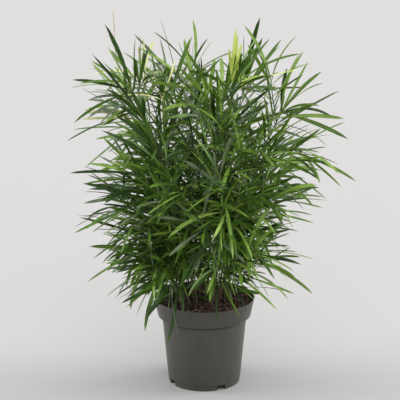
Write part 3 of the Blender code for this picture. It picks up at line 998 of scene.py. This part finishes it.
@dataclass
class Foliage:
    """All leaves, each tone joined into one piece."""

    stations: int = 9
    thickness: float = 0.45 * MM
    slimmer: float = 0.84
    young_slimmer: float = 0.64
    young: tuple[Tint, ...] = (Tint.LIME, Tint.STRAW)
    fold: float = 0.2
    root_width: float = 0.2
    root_power: int = 3
    root_swell: float = 0.8
    tip_power: int = 5
    tip_taper: float = 0.6
    least_half: float = 1e-3
    crease_angle: float = 14.0
    pale_sprays: dict[tuple[str, str], Tint] = field(default_factory=lambda: {
        ("top_9", "tip"): Tint.STRAW,
        ("top_9", "3 spur 0.5"): Tint.STRAW,
        ("top_1", "4 spur 0.5"): Tint.STRAW,
        ("top_1", "5 gap spur 0.7"): Tint.STRAW,
        ("top_2", "4 spur 0.78"): Tint.STRAW,
        ("top_6", "5 side"): Tint.LIME,
        ("top_4", "2 spur 0.22"): Tint.LIME,
        ("top_3", "3 gap spur 0.5"): Tint.LIME,
        ("mid_6", "tip"): Tint.FRESH,
    })
    lone_leaves: tuple[LoneLeaf, ...] = (
        LoneLeaf("top_1", Tint.DEEP, (-114, -8, 435), 0.35, 5.2),
        LoneLeaf("top_1", Tint.MID, (-110, -4, 423), 0.3, 5.0),
        LoneLeaf("top_1", Tint.DEEP, (-153, 0, 368), 0.35, 5.6),
        LoneLeaf("top_10", Tint.DEEP, (66, 68, 430), 0.2, 7.0, -1.0),
        LoneLeaf("top_10", Tint.MID, (69, 60, 407), 0.25, 6.0, -0.9),
        LoneLeaf("top_7", Tint.MID, (135, 0, 378), 0.4, 5.4),
        LoneLeaf("top_7", Tint.DEEP, (95, 0, 382), 0.3, 6.0),
        LoneLeaf("top_7", Tint.MID, (167, -10, 300), 0.3, 6.4),
        LoneLeaf("top_7", Tint.DEEP, (152, 30, 316), 0.9, 4.4),
        LoneLeaf("top_6", Tint.LIME, (35, -44, 436), 0.15, 7.4, -0.4),
        LoneLeaf("top_6", Tint.LIME, (42, -48, 420), 0.2, 6.6, -0.6),
        LoneLeaf("top_6", Tint.LIME, (27, -50, 414), 0.3, 6.6, 0.2),
        LoneLeaf("mid_6", Tint.DEEP, (-157, -20, 262), 0.3, 5.4),
        LoneLeaf("low_3", Tint.MID, (-69, -70, 85), 0.5, 6.2),
        LoneLeaf("top_9", Tint.STRAW, (-117, 34, 343), 1.5, 5.0),
        LoneLeaf("top_9", Tint.STRAW, (-49, 38, 353), 1.5, 4.6),
        LoneLeaf("top_9", Tint.STRAW, (-34, 56, 364), 1.0, 4.6),
        LoneLeaf("top_9", Tint.STRAW, (-78, 48, 399), 0.2, 5.0),
    )
    dealt_tints: tuple[Tint, ...] = (Tint.DEEP, Tint.MID, Tint.FRESH, Tint.GREY)
    shares: dict[str, tuple[float, ...]] = field(default_factory=lambda: {
        "top": (0.18, 0.48, 0.28, 0.06),
        "mid": (0.3, 0.52, 0.13, 0.05),
        "low": (0.42, 0.5, 0.06, 0.02),
    })
    # Painted light: shoots that end right of this get lighter tones by the shares below, so the
    # crown's right side looks more lit.
    bright_side: float = 35 * MM
    painted_lit_shares: dict[str, tuple[float, ...]] = field(default_factory=lambda: {
        "top": (0.12, 0.44, 0.4, 0.04),
        "mid": (0.1, 0.46, 0.4, 0.04),
        "low": (0.16, 0.52, 0.3, 0.02),
    })

    def half_width(self, share: float) -> float:
        """Shapes the blade: full soon after the root, pointed at the tip.

        Args:
            share: How far along the blade, from 0 to 1.

        Returns:
            Its half width there, in blade widths.
        """
        from_root = (1 - (1 - share) ** self.root_power) ** self.root_swell
        to_tip = (1 - share ** self.tip_power) ** self.tip_taper
        return max(self.root_width * (1 - share), from_root * to_tip) / 2

    def blank(self) -> bpy.types.Mesh:
        """Extrudes one straight blade along +X, from 0 to 1, folded along its midrib and 1 wide.

        Returns:
            The blade, with its length and width as a UV map.
        """
        bm = bmesh.new()
        facing_x = Matrix.Rotation(math.pi / 2, 4, "Y")
        bmesh.ops.create_circle(bm, cap_ends=True, segments=4, radius=1, matrix=facing_x)
        cap = next(iter(bm.faces))
        self.set_ring(cap, 0.0)
        for k in range(1, self.stations):
            made = bmesh.ops.extrude_face_region(bm, geom=[cap])["geom"]
            if k > 1:
                bmesh.ops.delete(bm, geom=[cap], context="FACES_ONLY")
            cap = next(item for item in made if isinstance(item, bmesh.types.BMFace))
            self.set_ring(cap, k / self.stations)
        tip = bmesh.ops.poke(bm, faces=[cap])["verts"][0]
        tip.co = (1, 0, 0)
        bmesh.ops.recalc_face_normals(bm, faces=bm.faces)
        plan = bm.loops.layers.uv.new("plan")
        for face in bm.faces:
            for loop in face.loops:
                along, across, _ = loop.vert.co
                half = max(self.half_width(along), self.least_half)
                loop[plan].uv = (along, 0.5 + across / half / 2)
        return mesh_of(bm, "blade_blank")

    def set_ring(self, cap: bmesh.types.BMFace, share: float) -> None:
        """Moves the four corners of a cap to the blade's two edges, its keel and its midrib.

        Args:
            cap: The cap.
            share: How far along the blade.
        """
        half = self.half_width(share)
        across = sorted(cap.verts, key=lambda vert: (round(vert.co.y, 4), vert.co.z))
        for vert, (side, rise) in zip(across, ((-1, 0.0), (0, -0.5), (0, 0.5), (1, 0.0))):
            vert.co = (share, side * half, self.fold * half if side else rise)

    def tint_of(self, plant: GrownShoot, spray: Spray) -> Tint:
        """Deals a spray its tone, with more fresh ones on the crown's right side as painted light,
        so that side looks more lit.

        Args:
            plant: The shoot.
            spray: The spray.

        Returns:
            Its tone.
        """
        pale = self.pale_sprays.get((plant.shoot.name, spray.label))
        if pale:
            return pale
        rng = random.Random(f"tint {plant.shoot.name} {spray.label}")
        on_lit_side = plant.axis.points[-1].x > self.bright_side
        shares = self.painted_lit_shares if on_lit_side else self.shares
        return rng.choices(self.dealt_tints, shares[plant.shoot.storey()])[0]

    def joined(
        self, tint: Tint, leaves: Sequence[Leaf], blank: bpy.types.Mesh,
    ) -> bpy.types.Object:
        """Bends a copy of the blank along every leaf of one tone.

        Args:
            tint: The tone.
            leaves: Its leaves.
            blank: The straight blade.

        Returns:
            The joined leaves.
        """
        bm = bmesh.new()
        for _ in leaves:
            bm.from_mesh(blank)
        bm.verts.ensure_lookup_table()
        size = len(blank.vertices)
        slimmer = self.young_slimmer if tint in self.young else self.slimmer
        for k, leaf in enumerate(leaves):
            width = leaf.width * slimmer
            for vert in bm.verts[k * size:(k + 1) * size]:
                centre, across, through = leaf.frame_at(vert.co.x)
                high = vert.co.z * (self.thickness if vert.co.y == 0 else width)
                vert.co = centre + across * (vert.co.y * width) + through * high
        finish = tint.value
        return finished(bm, f"leaves_{tint.name.lower()}", finish.material(),
                        self.crease_angle)

    def build(self, plants: Sequence[GrownShoot]) -> list[bpy.types.Object]:
        """Builds the leaves of all shoots.

        Args:
            plants: The grown shoots.

        Returns:
            One piece for each tone.
        """
        dealt: dict[Tint, list[Leaf]] = {tint: [] for tint in Tint}
        for plant in plants:
            for spray in plant.sprays:
                dealt[self.tint_of(plant, spray)] += spray.leaves
        axes = {plant.shoot.name: plant.axis for plant in plants}
        for lone in self.lone_leaves:
            dealt[lone.tint].append(lone.leaf(axes[lone.shoot]))
        blank = self.blank()
        pieces = [self.joined(tint, leaves, blank) for tint, leaves in dealt.items()]
        bpy.data.meshes.remove(blank)
        log.info("%d leaves", sum(len(leaves) for leaves in dealt.values()))
        return pieces


@dataclass(frozen=True)
class Whip:
    """A leafless whip: its shoot, the share of the axis where it starts, and its bends in mm."""

    shoot: str
    share: float
    bends: tuple[Triple, ...]


@dataclass
class Wood:
    """Stems, twigs and spurs as tapering tubes, each swelling at even steps along its length."""

    stem_radii: Pair = (1.0 * MM, 0.55 * MM)
    twig_radii: Pair = (0.75 * MM, 0.5 * MM)
    spur_radii: Pair = (0.45 * MM, 0.3 * MM)
    whip_radii: Pair = (0.8 * MM, 0.45 * MM)
    stem_roundness: int = 2
    twig_roundness: int = 1
    spur_roundness: int = 0
    step: float = 6 * MM
    swelling_every: float = 18 * MM
    swelling: float = 0.28
    waver: float = 0.25 * MM
    slot: str = "stem"
    bark: StemBark = StemBark()
    dry_skin: Crumbly = Crumbly("dry_whip_skin", "#a89d78", "#c4bb98", patch_mm=6.0,
                                grain_mm=1.5, relief_mm=0.1, roughness=0.6)
    whips: tuple[Whip, ...] = (
        Whip("top_9", 0.8, ((-100, 62, 352), (-106, 66, 392), (-107, 68, 424),
                            (-108.5, 68, 434), (-106, 68, 440))),
        Whip("top_3", 0.86, ((-22, 62, 372), (-17.5, 60, 392), (-19, 60, 404))),
    )

    def tubes(
        self, name: str, paths: Sequence[Path], radii: Pair, roundness: int,
        finish: bpy.types.Material,
    ) -> bpy.types.Object:
        """Bevels a spline along each path and joins them in one mesh.

        Args:
            name: The piece's name.
            paths: The limbs' paths.
            radii: Each limb's first and last radius.
            roundness: The bevel's resolution.
            finish: The material.

        Returns:
            The piece.
        """
        curve = bpy.data.curves.new(name, "CURVE")
        curve.dimensions = "3D"
        curve.bevel_depth = 1.0
        curve.bevel_resolution = roundness
        curve.use_fill_caps = True
        rng = random.Random(name)
        first, last = radii
        for path in paths:
            places = path.spread(self.step)
            spline = curve.splines.new("POLY")
            spline.points.add(len(places) - 1)
            phase = rng.uniform(0, self.swelling_every)
            for k, (point, place) in enumerate(zip(spline.points, places)):
                share = k / (len(places) - 1)
                reached = path.length * share
                near = abs((reached + phase) % self.swelling_every - self.swelling_every / 2)
                swollen = 1 + self.swelling * max(0.0, 1 - near / self.step)
                shift = Vector([rng.uniform(-self.waver, self.waver) for _ in range(3)])
                point.co = (*(place + shift * (0 < share < 1)), 1)
                point.radius = (first + (last - first) * share) * swollen
        carrier = placed(name, curve)
        graph = bpy.context.evaluated_depsgraph_get()
        mesh = bpy.data.meshes.new_from_object(carrier.evaluated_get(graph))
        bpy.data.objects.remove(carrier)
        bm = bmesh.new()
        bm.from_mesh(mesh)
        bpy.data.meshes.remove(mesh)
        bmesh.ops.remove_doubles(bm, verts=bm.verts, dist=MERGE_WITHIN)
        bmesh.ops.recalc_face_normals(bm, faces=bm.faces)
        return finished(bm, name, finish)

    def whip_paths(self, plants: Sequence[GrownShoot]) -> list[Path]:
        """Draws the leafless pale whips that stand over the crown.

        Args:
            plants: The grown shoots.

        Returns:
            Each whip's path.
        """
        axes = {plant.shoot.name: plant.axis for plant in plants}
        starts = [axes[whip.shoot].at(axes[whip.shoot].length * whip.share)[0]
                  for whip in self.whips]
        return [Path([start, *(Vector(bend) * MM for bend in whip.bends)])
                for start, whip in zip(starts, self.whips)]

    def build(self, plants: Sequence[GrownShoot]) -> dict[str, bpy.types.Object]:
        """Builds all wood.

        Args:
            plants: The grown shoots.

        Returns:
            The pieces by name.
        """
        bark = self.bark.material()
        pale = self.dry_skin.material()
        stems = [plant.axis for plant in plants]
        limbs = [spray for plant in plants for spray in plant.sprays if spray.twig]
        twigs = [spray.twig for spray in limbs if not spray.is_spur]
        spurs = [spray.twig for spray in limbs if spray.is_spur]
        kinds = (
            ("stems", stems, self.stem_radii, self.stem_roundness, bark),
            ("twigs", twigs, self.twig_radii, self.twig_roundness, bark),
            ("spurs", spurs, self.spur_radii, self.spur_roundness, bark),
            ("pale_whips", self.whip_paths(plants), self.whip_radii, self.twig_roundness, pale),
        )
        return {kind[0]: self.tubes(*kind) for kind in kinds}


@dataclass
class NurseryPot:
    """The moulded pot: stepped collar, foot line, four drainage notches and rounded edges."""

    segments: int = 144
    height: float = 105 * MM
    wall: float = 1.3 * MM
    floor: float = 2.2 * MM
    rim_radius: float = 60 * MM
    collar_height: float = 22 * MM
    collar_lower_radius: float = 55.4 * MM
    collar_undercut: float = 1.3 * MM
    neck_radius: float = 50.4 * MM
    foot_line_height: float = 6.4 * MM
    foot_line_radius: float = 43.5 * MM
    foot_step: float = 0.6 * MM
    base_radius: float = 42.6 * MM
    edge_round: float = 0.55 * MM
    edge_angle: float = 28.0
    level_within: float = 1e-6
    smooth_angle: float = 12.0
    notch_turns: tuple[float, ...] = (28, 118, 208, 298)
    notch_width: float = 11 * MM
    notch_height: float = 5.6 * MM
    notch_corner: float = 1.6 * MM
    notch_inner_radius: float = 38.5 * MM
    notch_inner_beyond: float = 2 * MM
    finish: MouldedPolypropylene = MouldedPolypropylene()

    def outline(self) -> list[Pair]:
        """Draws half the wall's section.

        Returns:
            Its (radius, height) points, from the underside's middle to the floor's middle.
        """
        collar_foot = self.height - self.collar_height
        slope = (self.neck_radius - self.foot_line_radius) / (collar_foot - self.foot_line_height)
        step_radius = self.foot_line_radius - self.foot_step
        floor_edge = step_radius - slope * (self.foot_line_height - self.floor) - self.wall
        return [
            (0, 0),
            (self.base_radius, 0),
            (step_radius, self.foot_line_height - self.foot_step),
            (self.foot_line_radius, self.foot_line_height),
            (self.neck_radius, collar_foot - self.collar_undercut),
            (self.neck_radius - self.collar_undercut, collar_foot),
            (self.collar_lower_radius, collar_foot),
            (self.rim_radius, self.height),
            (self.rim_radius - self.wall, self.height),
            (self.collar_lower_radius - self.wall, collar_foot + 2 * self.wall),
            (self.neck_radius - self.wall, collar_foot + self.wall),
            (floor_edge, self.floor),
            (0, self.floor),
        ]

    def notched(self, pot: bpy.types.Object) -> None:
        """Opens the foot ring with round-shouldered cuts.

        Args:
            pot: The turned pot, whose mesh is replaced.
        """
        bm = bmesh.new()
        depth = self.base_radius - self.notch_inner_radius + 2 * self.notch_inner_beyond
        size = Matrix.Diagonal((depth, self.notch_width, 2 * self.notch_height, 1))
        outwards = Matrix.Translation((self.notch_inner_radius + depth / 2, 0, 0))
        for turn in self.notch_turns:
            place = Matrix.Rotation(math.radians(turn), 4, "Z") @ outwards @ size
            bmesh.ops.create_cube(bm, size=1, matrix=place)
        shoulders = [edge for edge in bm.edges
                     if all(vert.co.z > 0 for vert in edge.verts) and self.is_radial(edge)]
        bmesh.ops.bevel(bm, geom=shoulders, offset=self.notch_corner, affect="EDGES",
                        segments=4, profile=0.5, material=-1)
        cutter = placed("notch_cutter", mesh_of(bm, "notch_cutter"))
        cut = pot.modifiers.new("Notches", "BOOLEAN")
        cut.operation = "DIFFERENCE"
        cut.object = cutter
        graph = bpy.context.evaluated_depsgraph_get()
        whole = pot.data
        pot_mesh = bpy.data.meshes.new_from_object(pot.evaluated_get(graph))
        pot.modifiers.clear()
        pot.data = pot_mesh
        bpy.data.meshes.remove(whole)
        bpy.data.objects.remove(cutter)

    def is_radial(self, edge: bmesh.types.BMEdge) -> bool:
        """Says whether an edge of a cutter runs away from the pot's middle."""
        a, b = (Vector((vert.co.x, vert.co.y)) for vert in edge.verts)
        return abs(a.length - b.length) > (a - b).length / 2

    def is_rounded(self, edge: bmesh.types.BMEdge) -> bool:
        """Says whether an edge is one of the rings that the mould rounds.

        Args:
            edge: An edge of the spun wall.

        Returns:
            Whether it lies level and turns sharply.
        """
        if len(edge.link_faces) != 2 or edge.calc_face_angle() <= math.radians(self.edge_angle):
            return False
        a, b = edge.verts
        return math.isclose(a.co.z, b.co.z, abs_tol=self.level_within)

    def build(self) -> bpy.types.Object:
        """Spins the outline, rounds its edges and cuts the notches.

        Returns:
            The pot.
        """
        bm = spun(self.outline(), self.segments)
        rings = [edge for edge in bm.edges if self.is_rounded(edge)]
        bmesh.ops.bevel(bm, geom=rings, offset=self.edge_round, affect="EDGES", segments=3,
                        profile=0.5, material=-1)
        pot = finished(bm, "nursery_pot", self.finish.material(), self.smooth_angle)
        self.notched(pot)
        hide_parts("pot")
        return pot


@dataclass(frozen=True)
class Bits:
    """One kind of loose bit on the soil: its name, finish, count, size range and proportions."""

    name: str
    finish: Crumbly
    count: int
    size_mm: Pair
    stretch: Triple


@dataclass
class PottingSoil:
    """Peat with a lumpy top, crumbs, reddish bark fibre and perlite."""

    top: float = 101 * MM
    depth: float = 14 * MM
    radius: float = 57.3 * MM
    narrower_below: float = 4 * MM
    rings: int = 30
    segments: int = 128
    lumps: tuple[Pair, ...] = ((11.0, 1.7), (4.0, 1.0), (1.7, 0.5))
    slot: str = "soil"
    peat: Crumbly = Crumbly("damp_peat", "#1e1611", "#44362b")
    bits_inset: float = 2.5 * MM
    bits_rise: float = 0.25
    bits_tilt: float = 0.6
    bits_uneven: float = 0.16
    bits_sharp: float = 30.0
    bits: tuple[Bits, ...] = (
        Bits("peat_crumbs", Crumbly("peat_crumb", "#2a201a", "#5e4f46"),
             520, (0.8, 2.4), (1.3, 1.0, 0.8)),
        Bits("bark_bits", Crumbly("bark_fibre", "#4a3021", "#76503a"),
             190, (0.6, 1.5), (2.6, 1.0, 0.6)),
        Bits("perlite", Crumbly("perlite_grain", "#cfcac0", "#f2efe8", patch_mm=2.0,
                                grain_mm=0.6, relief_mm=0.3),
             60, (0.4, 1.1), (1.1, 1.0, 0.9)),
    )

    def height_at(self, x: float, y: float) -> float:
        """Returns the soil's height over the level at a place on it."""
        return sum(noise.noise(Vector((x, y, 0)) / (size * MM)) * rise * MM
                   for size, rise in self.lumps)

    def build(self) -> list[bpy.types.Object]:
        """Builds the soil and its loose bits.

        Returns:
            The pieces, the soil first.
        """
        below = self.top - self.depth
        level = [(self.radius * k / self.rings, self.top) for k in range(self.rings + 1)]
        bm = spun([*level, (self.radius - self.narrower_below, below), (0, below)], self.segments)
        for vert in bm.verts:
            if vert.co.z > self.top - MM:
                vert.co.z += self.height_at(vert.co.x, vert.co.y)
        soil = finished(bm, "potting_soil", self.peat.material())
        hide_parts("soil")
        return [soil] + [self.scattered(kind) for kind in self.bits]

    def scattered(self, kind: Bits) -> bpy.types.Object:
        """Strews one kind of bit over the soil.

        Args:
            kind: The kind.

        Returns:
            All its bits in one piece.
        """
        rng = random.Random(kind.name)
        bm = bmesh.new()
        lean = self.bits_tilt
        for _ in range(kind.count):
            out = (self.radius - self.bits_inset) * math.sqrt(rng.random())
            turn = rng.uniform(0, math.tau)
            x, y = out * math.cos(turn), out * math.sin(turn)
            size = rng.uniform(*kind.size_mm) * MM
            up = self.top + self.height_at(x, y) + size * self.bits_rise
            tilt = Euler((rng.uniform(-lean, lean), rng.uniform(-lean, lean),
                          rng.uniform(0, math.tau)))
            shape = Matrix.Diagonal((*(size * share for share in kind.stretch), 1))
            at = Matrix.Translation((x, y, up)) @ tilt.to_matrix().to_4x4() @ shape
            made = bmesh.ops.create_icosphere(bm, subdivisions=1, radius=1, matrix=at)["verts"]
            for vert in made:
                vert.co += Vector([rng.uniform(-self.bits_uneven, self.bits_uneven) * size
                                   for _ in range(3)])
        return finished(bm, kind.name, kind.finish.material(), self.bits_sharp)


@dataclass(frozen=True)
class Softbox:
    """A wide soft light, far enough off to light the whole floor evenly.

    It has a name, the place that it shines from towards the pot, how many degrees wide it looks
    from the pot, which softens its shadows, and its strength in watts a square metre.
    """

    name: str
    place: Triple
    spread_deg: float
    strength: float

    def hang(self) -> None:
        """Hangs the light in the scene."""
        lamp = bpy.data.lights.new(self.name, "SUN")
        lamp.angle = math.radians(self.spread_deg)
        lamp.energy = self.strength
        holder = placed(self.name, lamp)
        holder.location = self.place
        holder.rotation_euler = (-Vector(self.place)).to_track_quat("-Z", "Y").to_euler()


@dataclass
class Studio:
    """Pale floor, soft lights and the camera at the photograph's angle."""

    floor_half: float = 14.0
    paper: StudioPaper = StudioPaper()
    distance: float = 2.0
    pitch: float = math.radians(15.539)
    focal: float = 153.08
    sensor: float = 36.0
    aim: Triple = (-0.0052, 0.0, 0.2242)
    world: str = "#e9ebf0"
    world_strength: float = 0.8
    view_transform: str = "Standard"
    lights: tuple[Softbox, ...] = (
        Softbox("overhead_softbox", (0.0, 0.6, 3.0), 70.0, 1.1),
        Softbox("left_softbox", (-3.0, 0.4, 1.2), 40.0, 2.1),
        Softbox("right_softbox", (3.0, 0.5, 1.2), 40.0, 2.4),
        Softbox("front_softbox", (0.3, -3.0, 1.8), 60.0, 0.9),
    )

    def build(self) -> None:
        """Builds floor, lights, world and camera."""
        bm = bmesh.new()
        bmesh.ops.create_grid(bm, x_segments=1, y_segments=1, size=self.floor_half)
        floor = placed("studio_floor", mesh_of(bm, "studio_floor"))
        floor.data.materials.append(self.paper.material())
        for light in self.lights:
            light.hang()

        world = bpy.data.worlds.new("studio_world")
        world.use_nodes = True
        backdrop = world.node_tree.nodes["Background"]
        fill_node(world.node_tree, backdrop,
                  {"Color": linear(self.world), "Strength": self.world_strength}, {})
        bpy.context.scene.world = world
        bpy.context.scene.view_settings.view_transform = self.view_transform

        lens = bpy.data.cameras.new("camera")
        lens.lens = self.focal
        lens.sensor_width = self.sensor
        camera = placed("camera", lens)
        back = Vector((0, -math.cos(self.pitch), math.sin(self.pitch)))
        camera.location = Vector(self.aim) + back * self.distance
        camera.rotation_euler = (math.pi / 2 - self.pitch, 0, 0)
        bpy.context.scene.camera = camera


def main() -> None:
    """Builds studio, pot, soil, wood and leaves in turn."""
    logging.basicConfig(level=logging.INFO, format="%(name)s %(message)s")
    Studio().build()
    NurseryPot().build()
    PottingSoil().build()
    plants = Crown().grow(SHOOTS)
    wood = Wood().build(plants)
    leaves = Foliage().build(plants)
    names = [plant.shoot.name for plant in plants]
    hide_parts(*(f"stem_{name}" for name in names))
    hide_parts(*(f"foliage_{name}" for name in names))


if __name__ == "__main__":
    main()
